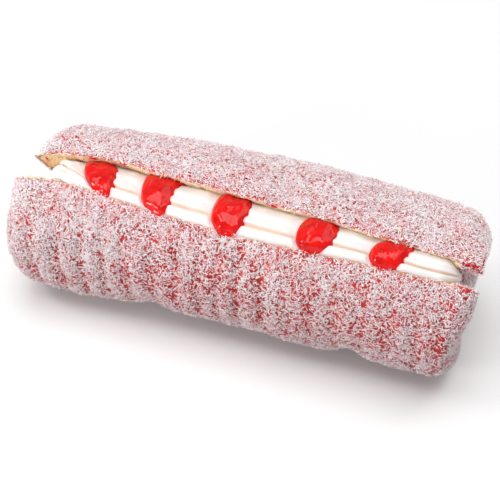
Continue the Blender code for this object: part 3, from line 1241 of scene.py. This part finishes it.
@dataclass(frozen=True)
class DollopPlace:
    """Where one dollop of jam lies: its X limits at the lip, the middle and the flap of the mouth."""

    number: int
    left: Triple
    right: Triple
    height: float
    tail: float = 0.0
    low: float = -0.07
    high: float = 1.04

    @staticmethod
    def along(limits: Triple, share: np.ndarray) -> np.ndarray:
        """X of a limit at a share of the way from the lip to the flap.

        Args:
            limits: x at the lip, the middle and the flap.
            share: 0 at the lip and 1 at the flap.

        Returns:
            X at each share.
        """
        lip, middle, flap = limits
        s = np.clip(share, -0.1, 1.1)
        return lip * (1 - s) * (1 - 2 * s) + middle * 4 * s * (1 - s) + flap * s * (2 * s - 1)


DOLLOPS = (
    DollopPlace(1, (-0.0760, -0.0864, -0.0880), (-0.0655, -0.0682, -0.0735), 0.0052, high=1.08),
    DollopPlace(2, (-0.0478, -0.0530, -0.0550), (-0.0350, -0.0354, -0.0362), 0.0060, tail=0.0065, high=1.12),
    DollopPlace(3, (-0.0110, -0.0142, -0.0130), (0.0028, 0.0044, 0.0030), 0.0060),
    DollopPlace(4, (0.0325, 0.0300, 0.0325), (0.0450, 0.0492, 0.0482), 0.0054),
    DollopPlace(5, (0.0680, 0.0678, 0.0730), (0.0810, 0.0852, 0.0872), 0.0048),
)


@dataclass
class CreamRope:
    """The piped rope of cream, ridged lengthwise, and its filling down the split.

    Valleys between the ridges are a place across the rope, a width and a depth.
    """

    left: float = -0.1034
    right: float = 0.1112
    left_taper: float = 0.0042
    right_taper: float = 0.0105
    edge_sink: float = 0.0004
    flap_depth: float = 0.0084
    flap_depth_skew: float = 0.0026
    flap_depth_dip: float = -0.0004
    lip_depth: float = 0.0010
    press: float = 0.0005
    flap_press: float = 0.0016
    bulge: float = 0.0048
    bulge_skew: float = 0.5
    dip: float = 0.0021
    foot: float = 0.90
    foot_half_width: float = 0.0011
    ridge_reach: float = 0.0011
    before_jam: float = 0.0020
    before_jam_more: float = 0.0044
    swirl_start: float = -0.082
    swirl_length: float = 0.021
    peak_height: float = 0.0011
    peak_size: float = 0.0042
    peak_end: float = -0.094
    tip_share: float = 0.03
    stain_strength: float = 0.9
    stations: int = 640
    top_points: int = 96
    side_points: int = 12
    valleys: tuple[Triple, ...] = (
        (0.26, 0.042, 0.0017), (0.50, 0.070, 0.0007), (0.76, 0.060, 0.0006),
    )
    finish: CreamFinish = field(default_factory=CreamFinish)

    def sides(self, x: np.ndarray, sink: np.ndarray | float) -> tuple[np.ndarray, np.ndarray, np.ndarray]:
        """Where the rope meets the two halves of the split, at each station.

        Args:
            x: stations.
            sink: how far the cream dips there for a dollop, 0 to 1.

        Returns:
            Point on the lip, point on the flap and the way out of the mouth.
        """
        flap, lip, hinge = FORM.mouth(x, self.edge_sink)
        flap_way = (hinge - flap) / np.linalg.norm(hinge - flap, axis=-1, keepdims=True)
        lip_way = (hinge - lip) / np.linalg.norm(hinge - lip, axis=-1, keepdims=True)
        depth = self.flap_depth - self.flap_depth_skew * 2.0 * x / FORM.length + self.flap_depth_dip * sink
        chord = flap - lip
        across = chord / np.linalg.norm(chord, axis=-1, keepdims=True)
        outward = np.stack([-across[..., 1], across[..., 0]], axis=-1)
        on_flap = flap + flap_way * depth[..., None] + across * self.flap_press
        on_lip = lip + lip_way * self.lip_depth - across * self.press
        return on_lip, on_flap, outward

    def lobes(self, share: np.ndarray) -> np.ndarray:
        """How far each ridge's blunt start reaches over the jam, 0 in the valleys to 1.

        Args:
            share: 0 at the lip and 1 at the flap.

        Returns:
            Reach of each point.
        """
        edges = np.array([0.0, *[spot for spot, _, _ in self.valleys], 1.0])
        spot = np.clip(share, 0.0, 0.9999)
        index = np.searchsorted(edges, spot, side="right") - 1
        low, high = edges[index], edges[index + 1]
        t = 2.0 * (spot - low) / (high - low) - 1.0
        return np.sqrt(1.0 - t * t)

    def sink(self, x: np.ndarray, share: np.ndarray) -> np.ndarray:
        """How far the cream dips for the dollops, 0 to 1: gently before each, abruptly after.

        Args:
            x: stations.
            share: 0 at the lip and 1 at the flap.

        Returns:
            Share of the full dip.
        """
        total = np.zeros(np.broadcast(x, share).shape)
        reach = self.ridge_reach * self.lobes(share)
        on_top = ease(share, 0.20, 0.42)
        for place in DOLLOPS:
            left, right = place.along(place.left, share), place.along(place.right, share)
            start = left - self.before_jam - self.before_jam_more * on_top
            falls = ease(x, start, left + 0.0006 + 0.0020 * on_top)
            rises = ease(x, right + 0.0012 - reach, right - 0.0010 - reach)
            total = np.maximum(total, falls * rises)
        return total

    def drift(self, x: np.ndarray) -> np.ndarray:
        """Sideways wander of the ridges, with the swirl of the left end."""
        swirl = 0.42 * np.clip((self.swirl_start - x) / self.swirl_length, 0.0, 1.0) ** 1.4
        return 0.012 * np.sin(x / 0.012) + 0.008 * np.sin(x / 0.0051 + 2.0) - swirl

    def groove(self, share: np.ndarray) -> np.ndarray:
        """Depth of the grooves between ridges, across the rope."""
        return sum(depth * bell(share, spot, width) for spot, width, depth in self.valleys)

    def dome(self, share: np.ndarray) -> np.ndarray:
        """Height of the rope's round back across the mouth, fuller toward the lip.

        Args:
            share: 0 at the lip and 1 at the flap.

        Returns:
            1 at the fullest, 0 at both edges.
        """
        side = np.clip(2.0 * share - 1.0, -1.0, 1.0)
        power = np.where(side > 0.0, 4.5, 2.6)
        return np.sqrt(1.0 - np.abs(side) ** power) * (1.0 - self.bulge_skew * np.maximum(side, 0.0))

    def bed(self, x: np.ndarray, share: np.ndarray, height: np.ndarray | float,
            sink: np.ndarray | float = 1.0) -> np.ndarray:
        """Points at a height over the floor of the dips; share may run a little past the mouth's edges.

        Args:
            x: stations.
            share: 0 at the lip and 1 at the flap.
            height: height over the floor of the dips.
            sink: how far the rope's edges dip, 0 to 1.

        Returns:
            Points as x, y, z on the last axis.
        """
        on_lip, on_flap, outward = self.sides(x, sink)
        lift = (self.bulge - self.dip) * self.dome(share) + height
        flat = on_lip + (on_flap - on_lip) * share[..., None] + outward * lift[..., None]
        return np.concatenate([FORM.slant(x, flat[..., 0])[..., None], flat], axis=-1)

    def top(self, x: np.ndarray, share: np.ndarray) -> np.ndarray:
        """Points on the rope's top; share is 0 at the lip and 1 at the flap.

        Args:
            x: stations.
            share: place across the rope.

        Returns:
            Points as x, y, z on the last axis.
        """
        sink = self.sink(x, share)
        dome = self.dome(share)
        swell = 0.0005 * np.sin(x / 0.0065 + 1.3 * share) + 0.0003 * np.sin(x / 0.0031 + 2.0 * share)
        rise = self.dip * (1.0 - sink) * dome + swell * dome
        rise = rise - self.groove(share + self.drift(x)) * (1.0 - 0.8 * sink) * ease(dome, 0.1, 0.6)
        return self.bed(x, share, rise, self.sink(x, np.ones_like(x)))

    def fade(self, x: np.ndarray) -> np.ndarray:
        """Share of the full section left toward the rope's two tips.

        Args:
            x: stations.

        Returns:
            1 along the rope, 0 at its tips.
        """
        left = np.clip((x - self.left) / self.left_taper, 0.0, 1.0)
        right = np.clip((self.right - x) / self.right_taper, 0.0, 1.0)
        return np.sqrt(1.0 - (1.0 - left) ** 2) * np.sqrt(1.0 - (1.0 - right) ** 2)

    def station_row(self) -> np.ndarray:
        """Stations along the rope, closer together at its tips and at the blunt starts.

        Returns:
            Their x, rising.
        """
        t = np.linspace(0.0, 1.0, 4001)
        x = self.left + (self.right - self.left) * t
        wish = 1.0 + 2.0 * bell(x, self.left, 0.006) + 1.5 * bell(x, self.right, 0.006)
        for place in DOLLOPS:
            wish += 2.4 * bell(x, sum(place.right) / 3 - 0.001, 0.0045)
        steps = np.concatenate([[0.0], np.cumsum((wish[1:] + wish[:-1]) / 2)])
        return np.interp(np.linspace(0.0, steps[-1], self.stations), steps, x)

    def build(self) -> None:
        """Makes the cream with the attributes groove and stain."""
        x = self.station_row()
        shares = 0.5 - 0.5 * np.cos(np.linspace(0.0, math.pi, self.top_points))
        shares = 0.5 * shares + 0.5 * np.linspace(0.0, 1.0, self.top_points)
        grid_x = np.repeat(x[:, None], self.top_points, axis=1)
        grid_share = np.repeat(shares[None, :], len(x), axis=0)
        top = self.top(grid_x, grid_share)
        flap, lip, hinge = FORM.mouth(x, self.edge_sink)
        on_lip, on_flap, _ = self.sides(x, self.sink(x, np.ones_like(x)))
        inward = (hinge - (flap + lip) / 2) * self.foot
        foot = (flap + lip) / 2 + inward
        side = np.stack([-inward[:, 1], inward[:, 0]], axis=-1)
        side *= self.foot_half_width / np.linalg.norm(side, axis=-1, keepdims=True)
        down = np.linspace(0.0, 1.0, self.side_points + 1)[1:]
        flap_side = on_flap[:, None] + (foot + side - on_flap)[:, None] * down[None, :, None]
        lip_side = on_lip[:, None] + (foot - side - on_lip)[:, None] * down[None, ::-1, None]
        walls = np.concatenate([flap_side, lip_side], axis=1)
        wall_x = FORM.slant(np.repeat(x[:, None], walls.shape[1], axis=1), walls[..., 0])
        ring = np.concatenate([top, np.concatenate([wall_x[..., None], walls], axis=-1)], axis=1)
        core = on_lip * 0.42 + on_flap * 0.38 + foot * 0.20
        core = np.concatenate([FORM.slant(x, core[:, 0])[:, None], core], axis=-1)
        fade = self.tip_share + (1.0 - self.tip_share) * self.fade(x)
        points = core[:, None] + (ring - core[:, None]) * fade[:, None, None]
        normal = grid_normals(points)
        peaks = self.peak_height * ease(points[..., 0], self.swirl_start, self.peak_end)
        peaks = peaks * perlin(points * (0.6, 1.0, 1.0), self.peak_size, 12.0)
        soft = 0.00016 * perlin(points, 0.006, 5.0) + 0.00005 * perlin(points, 0.0022, 8.0) + peaks
        points = points + normal * soft[..., None]
        rope = mesh_object("cream_rope", *close_tips(points))
        face_outward(rope)
        groove, stain = self.colour_shares(grid_x, grid_share, points.shape[1])
        set_attribute(rope, "groove", np.append(groove.ravel(), [0.0, 0.0]))
        set_attribute(rope, "stain", np.append(stain.ravel(), [0.0, 0.0]))
        finish_piece(rope, self.finish.material(), "whipped_cream", "cream_filling")

    def colour_shares(self, x: np.ndarray, share: np.ndarray, count: int) -> tuple[np.ndarray, np.ndarray]:
        """Painted warm shade of the main groove and the lip edge, and jam stain, of each ring point; walls
        get none.

        Args:
            x: stations of the top points.
            share: their places across the rope.
            count: points in a whole ring.

        Painted groove shade, and stain.
        """
        spot = share + self.drift(x)
        # Painted shade: warm tint along the main groove and the lip edge.
        groove = bell(spot, self.valleys[0][0] + 0.01, 0.050) + 0.30 * bell(share, 0.0, 0.05)
        groove = np.clip(groove, 0.0, 1.0)
        stain = np.zeros_like(x)
        for place in DOLLOPS:
            left, right = place.along(place.left, share), place.along(place.right, share)
            under = ease(x, left - 0.0008, left + 0.0012) * ease(x, right + 0.0010, right)
            stain = np.maximum(stain, under)
        stain = self.stain_strength * stain
        blank = np.zeros((x.shape[0], count - x.shape[1]))
        return np.concatenate([groove, blank], axis=1), np.concatenate([stain, blank], axis=1)


# ---------------------------------------------------------------- jam


@dataclass
class JamDollops:
    """Five spoonfuls of jam lying across the cream."""

    cream: CreamRope
    spokes: int = 96
    rings: int = 46
    floor_rings: int = 8
    sunk: float = 0.0008
    floor_drop: float = 0.0008
    overlap: float = 0.0012
    lump_height: float = 0.00060
    lump_size: float = 0.0052
    fold_size: float = 0.0030
    finish: JamFinish = field(default_factory=JamFinish)

    def ring(self, place: DollopPlace, radius: np.ndarray, turn: np.ndarray,
             height: np.ndarray) -> np.ndarray:
        """Points over the bed at polar places of a dollop.

        Args:
            place: the dollop.
            radius: 0 at its middle and 1 at its rim.
            turn: angle round it, in radians.
            height: height over the bed.

        Returns:
            Points as x, y, z on the last axis.
        """
        slow = 0.03 * np.sin(3.0 * turn + 2.1 * place.number)
        out = radius * (1.0 + slow + 0.02 * np.sin(5.0 * turn + place.number))
        middle, half = (place.low + place.high) / 2, (place.high - place.low) / 2
        share = middle + half * out * signed_power(np.sin(turn), 0.55)
        across = 0.5 + 0.5 * out * signed_power(np.cos(turn), 0.64)
        left, right = place.along(place.left, share), place.along(place.right, share)
        tail = place.tail * radius ** 3 * bell(turn, 0.72, 0.30)
        x = left + (right + self.overlap - left) * across + tail
        return self.cream.bed(x, share, height)

    def build_one(self, place: DollopPlace, material: bpy.types.Material) -> None:
        """Makes one dollop as a closed lumpy dome.

        Args:
            place: where it lies.
            material: material of the jam.
        """
        turns = np.linspace(0.0, 2 * math.pi, self.spokes, endpoint=False)
        radii = np.sin(np.linspace(0.04, math.pi / 2, self.rings))
        radius, turn = np.meshgrid(radii, turns, indexing="ij")
        dome = place.height * np.sqrt(np.clip(1.0 - radius ** 2.4, 0.0, 1.0))
        top = self.ring(place, radius, turn, dome - self.sunk)
        lumps = perlin(top * (1.0, 0.7, 0.7), self.lump_size, 3.0 + place.number)
        folds = np.abs(perlin(top * (1.0, 0.5, 0.5), self.fold_size, 8.0 + place.number))
        rise = self.lump_height * (lumps - 0.6 * folds) * ease(1.0 - radius, 0.0, 0.20)
        normal = grid_normals(top)
        if normal[:4, :, 2].mean() < 0:
            normal = -normal
        top = top + normal * rise[..., None]
        low_radius, low_turn = np.meshgrid(np.linspace(0.92, 0.1, self.floor_rings), turns, indexing="ij")
        low_height = np.full_like(low_radius, -self.sunk - self.floor_drop)
        floor = self.ring(place, low_radius, low_turn, low_height)
        jam = mesh_object(f"jam_{place.number}", *close_tips(np.concatenate([top, floor], axis=0)))
        face_outward(jam)
        # Painted shade: share of the way toward the flap, which darkens the jam under the flap's shade.
        upper = np.concatenate([0.5 + 0.5 * part_radius * np.sin(part_turn)
                                for part_radius, part_turn in ((radius, turn), (low_radius, low_turn))])
        set_attribute(jam, "upper", np.append(upper.ravel(), [0.5, 0.5]))
        finish_piece(jam, material, "raspberry_jam", f"jam_dollop_{place.number}")

    def build(self) -> None:
        """Makes all dollops."""
        material = self.finish.material()
        for place in DOLLOPS:
            self.build_one(place, material)


# ---------------------------------------------------------------- crumbs and smears


@dataclass(frozen=True)
class Bit:
    """A crumb or smear on a cut face: station, side, depth in metres, size and lift off the face."""

    x: float
    side: Side
    depth: float
    size: Triple
    lift: float = 0.0


CHUNKS = (
    Bit(-0.1100, Side.LIP, 0.0002, (0.0026, 0.0012, 0.0010)),
    Bit(-0.1062, Side.LIP, 0.0003, (0.0020, 0.0011, 0.0009)),
    Bit(-0.1030, Side.LIP, 0.0004, (0.0014, 0.0009, 0.0007)),
)
SMEARS = (
    Bit(0.1130, Side.FLAP, 0.0016, (0.0040, 0.0016, 0.0007), 0.0002),
    Bit(0.1105, Side.FLAP, 0.0050, (0.0022, 0.0026, 0.0008), 0.0002),
    Bit(0.1145, Side.LIP, 0.0040, (0.0018, 0.0024, 0.0007), 0.0002),
    Bit(-0.0840, Side.FLAP, 0.0008, (0.0024, 0.0010, 0.0007)),
    Bit(-0.0660, Side.FLAP, 0.0006, (0.0030, 0.0010, 0.0007)),
    Bit(-0.1110, Side.FLAP, 0.0060, (0.0012, 0.0022, 0.0006)),
    Bit(0.0150, Side.FLAP, 0.0007, (0.0028, 0.0009, 0.0006)),
)


@dataclass
class Bits:
    """Lumps of one kind joined in one piece."""

    name: str
    bits: tuple[Bit, ...]
    roughness: float
    seed: int
    small: int = 0
    lip_share: float = 0.55
    reach: float = 0.108
    face_sink: float = 0.0006
    subdivisions: int = 3

    def all_bits(self) -> list[Bit]:
        """The named bits, and small ones strewn along both edges of the mouth.

        Returns:
            All of them.
        """
        random = np.random.default_rng(self.seed)
        strewn = []
        for _ in range(self.small):
            side = Side.LIP if random.random() < self.lip_share else Side.FLAP
            size = 0.00022 + 0.00035 * random.random(3) ** 2
            depth = random.uniform(*((0.0002, 0.0011) if side is Side.LIP else (0.0008, 0.0050)))
            strewn.append(Bit(random.uniform(-self.reach, self.reach), side, depth, tuple(size), 0.00015))
        return [*self.bits, *strewn]

    def frame_at(self, bit: Bit) -> tuple[np.ndarray, np.ndarray, np.ndarray]:
        """Place of a bit, the way down the face and the way off the face.

        Args:
            bit: the crumb or smear.

        Returns:
            The place and the two ways.
        """
        x = np.array([bit.x])
        flap, lip, hinge = (part[0] for part in FORM.mouth(x, self.face_sink))
        edge = flap if bit.side is Side.FLAP else lip
        down = (hinge - edge) / np.linalg.norm(hinge - edge)
        off = np.array([-down[1], down[0]]) if bit.side is Side.LIP else np.array([down[1], -down[0]])
        y, z = edge + down * bit.depth + off * bit.lift
        spot = np.array([FORM.slant(x, np.array([y]))[0], y, z])
        return spot, np.array([0.0, *down]), np.array([0.0, *off])

    def build(self, material: bpy.types.Material, slot: str) -> None:
        """Makes the piece.

        Args:
            material: its material.
            slot: name of a material slot, passed on to finish_piece.
        """
        sphere = bmesh.new()
        bmesh.ops.create_icosphere(sphere, subdivisions=self.subdivisions, radius=1.0)
        unit = np.array([v.co for v in sphere.verts])
        corners = np.array([[v.index for v in f.verts] for f in sphere.faces])
        sphere.free()
        points, faces = [], []
        for number, bit in enumerate(self.all_bits()):
            spot, down, off = self.frame_at(bit)
            lumps = perlin(unit, 1.1, 3.7 * number) + 0.5 * perlin(unit, 0.45, number)
            swell = 1.0 + self.roughness * lumps
            ball = unit * swell[:, None] * np.array(bit.size)
            faces.append(corners + sum(len(p) for p in points))
            points.append(spot + ball @ np.array([[1.0, 0.0, 0.0], down, off]))
        piece = mesh_object(self.name, np.vstack(points), np.vstack(faces).tolist())
        face_outward(piece)
        for name in ("soak", "upper"):
            set_attribute(piece, name, np.zeros(len(piece.data.vertices)))
        finish_piece(piece, material, slot)


# ---------------------------------------------------------------- studio


@dataclass(frozen=True)
class Lamp:
    """A square soft light that faces the cake: place in the sky, distance, size and watts."""

    name: str
    azimuth: float
    elevation: float
    distance: float
    size: float
    power: float


LAMPS = (
    Lamp("overhead", 0.0, 87.0, 1.35, 1.20, 15.2),
    Lamp("key_window", -66.0, 48.0, 0.80, 0.22, 1.0),
    Lamp("front_window", -36.0, 18.0, 0.80, 0.20, 2.4),
    Lamp("back_fill", 150.0, 45.0, 1.1, 0.7, 2.0),
)


@dataclass
class Studio:
    """Pale floor, soft lights and camera."""

    azimuth: float = 17.85
    elevation: float = 44.04
    distance: float = 0.5286
    target: Triple = (0.00145, -0.00604, 0.0364)
    lens: float = 72.59
    sensor: float = 36.0
    lamp_aim: Triple = (0.0, 0.0, 0.03)
    floor_radius: float = 3.0
    floor_corners: int = 96
    floor_height: float = -0.0006
    world: float = 0.345

    def away(self, azimuth: float, elevation: float) -> Vector:
        """Unit vector toward a place in the sky; azimuth 0 is the front, positive is right."""
        turn, rise = math.radians(azimuth), math.radians(elevation)
        return Vector((math.sin(turn) * math.cos(rise), -math.cos(turn) * math.cos(rise), math.sin(rise)))

    def camera(self) -> None:
        """Adds the camera."""
        view = bpy.data.objects.new("camera", bpy.data.cameras.new("camera"))
        view.data.lens = self.lens
        view.data.sensor_width = self.sensor
        view.data.clip_start = 0.01
        out = self.away(self.azimuth, self.elevation)
        view.location = Vector(self.target) + out * self.distance
        view.rotation_euler = (-out).to_track_quat("-Z", "Y").to_euler()
        bpy.context.scene.collection.objects.link(view)
        bpy.context.scene.camera = view

    def light(self, lamp: Lamp) -> None:
        """Adds one lamp.

        Args:
            lamp: its place, size and power.
        """
        data = bpy.data.lights.new(lamp.name, "AREA")
        data.size = lamp.size
        data.energy = lamp.power
        light = bpy.data.objects.new(lamp.name, data)
        out = self.away(lamp.azimuth, lamp.elevation)
        light.location = Vector(self.lamp_aim) + out * lamp.distance
        light.rotation_euler = (-out).to_track_quat("-Z", "Y").to_euler()
        bpy.context.scene.collection.objects.link(light)

    def floor(self) -> None:
        """Adds a pale round floor."""
        turns = np.linspace(0.0, 2 * math.pi, self.floor_corners, endpoint=False)
        flat = self.floor_radius * np.stack([np.cos(turns), np.sin(turns)])
        ring = np.stack([*flat, np.full_like(turns, self.floor_height)], axis=-1)
        ground = mesh_object("floor", ring, [list(range(self.floor_corners))], smooth=False)
        paint = Painter("pale_floor")
        paint.color(paint.ramp(paint.noise(3.0), (0.3, (0.83, 0.83, 0.83)), (0.7, (0.86, 0.86, 0.86))))
        paint.fix(Roughness=0.9, Specular_IOR_Level=0.1)
        ground.data.materials.append(paint.material)

    def build(self) -> None:
        """Sets the whole stage."""
        self.camera()
        self.floor()
        for lamp in LAMPS:
            self.light(lamp)
        scene = bpy.context.scene
        scene.world = bpy.data.worlds.new("soft_white")
        scene.world.use_nodes = True
        background = scene.world.node_tree.nodes["Background"]
        background.inputs["Color"].default_value = (1.0, 1.0, 1.0, 1.0)
        background.inputs["Strength"].default_value = self.world
        scene.view_settings.view_transform = "Standard"


COCONUT_LOTS = (
    ShredLot("coconut_fine_1", (Shred.KITE, Shred.TWIST), 7.6e5, (1.5 * MM, 2.6 * MM), (0.40 * MM, 0.70 * MM),
             (0.22 * MM, 0.36 * MM), (0.05 * MM, 0.45 * MM), 20.0, 11,
             CoconutFinish("coconut_white", stained_share=0.50)),
    ShredLot("coconut_fine_2", (Shred.KITE, Shred.TWIST), 7.6e5, (1.5 * MM, 2.8 * MM), (0.40 * MM, 0.66 * MM),
             (0.22 * MM, 0.36 * MM), (0.20 * MM, 0.70 * MM), 28.0, 23, CoconutFinish("coconut_white_loose")),
    ShredLot("coconut_strips_1", (Shred.STRIP,), 3.8e5, (1.3 * MM, 2.4 * MM), (0.36 * MM, 0.54 * MM),
             (0.20 * MM, 0.32 * MM), (0.10 * MM, 0.60 * MM), 24.0, 37, CoconutFinish("coconut_strip")),
    ShredLot("coconut_strips_2", (Shred.STRIP,), 3.8e5, (1.5 * MM, 2.6 * MM), (0.32 * MM, 0.50 * MM),
             (0.20 * MM, 0.30 * MM), (0.30 * MM, 0.85 * MM), 36.0, 43, CoconutFinish("coconut_strip_loose")),
    ShredLot("coconut_standing", (Shred.TWIST, Shred.KITE), 5.6e5, (1.8 * MM, 3.0 * MM),
             (0.32 * MM, 0.52 * MM), (0.18 * MM, 0.28 * MM), (0.50 * MM, 1.00 * MM), 50.0, 51,
             CoconutFinish("coconut_long")),
    ShredLot("coconut_toasted", (Shred.STRIP,), 2.4e3, (1.6 * MM, 3.0 * MM), (0.9 * MM, 1.5 * MM),
             (0.30 * MM, 0.45 * MM), (0.50 * MM, 0.95 * MM), 16.0, 67,
             CoconutFinish("coconut_beige", (0.93, 0.80, 0.62), (0.88, 0.68, 0.48), (0.70, 0.45, 0.28))),
)


LOOSE_CRUMB = SpongeFinish(crumb=(0.84, 0.68, 0.48), crumb_pale=(0.86, 0.76, 0.62),
                           crumb_pore=(0.80, 0.52, 0.28))


def main() -> None:
    """Builds the cake piece by piece, then the stage."""
    roll = SpongeRoll().build()
    CoconutCoat(COCONUT_LOTS).build(roll)
    cream = CreamRope()
    cream.build()
    JamDollops(cream).build()
    Bits("sponge_crumbs", CHUNKS, 0.30, 5, small=70).build(LOOSE_CRUMB.material(), "coated_sponge")
    Bits("jelly_smears", SMEARS, 0.35, 8).build(JamFinish().material(), "raspberry_jam")
    Studio().build()


if __name__ == "__main__":
    logging.basicConfig(level=logging.INFO, format="%(name)s: %(message)s")
    main()
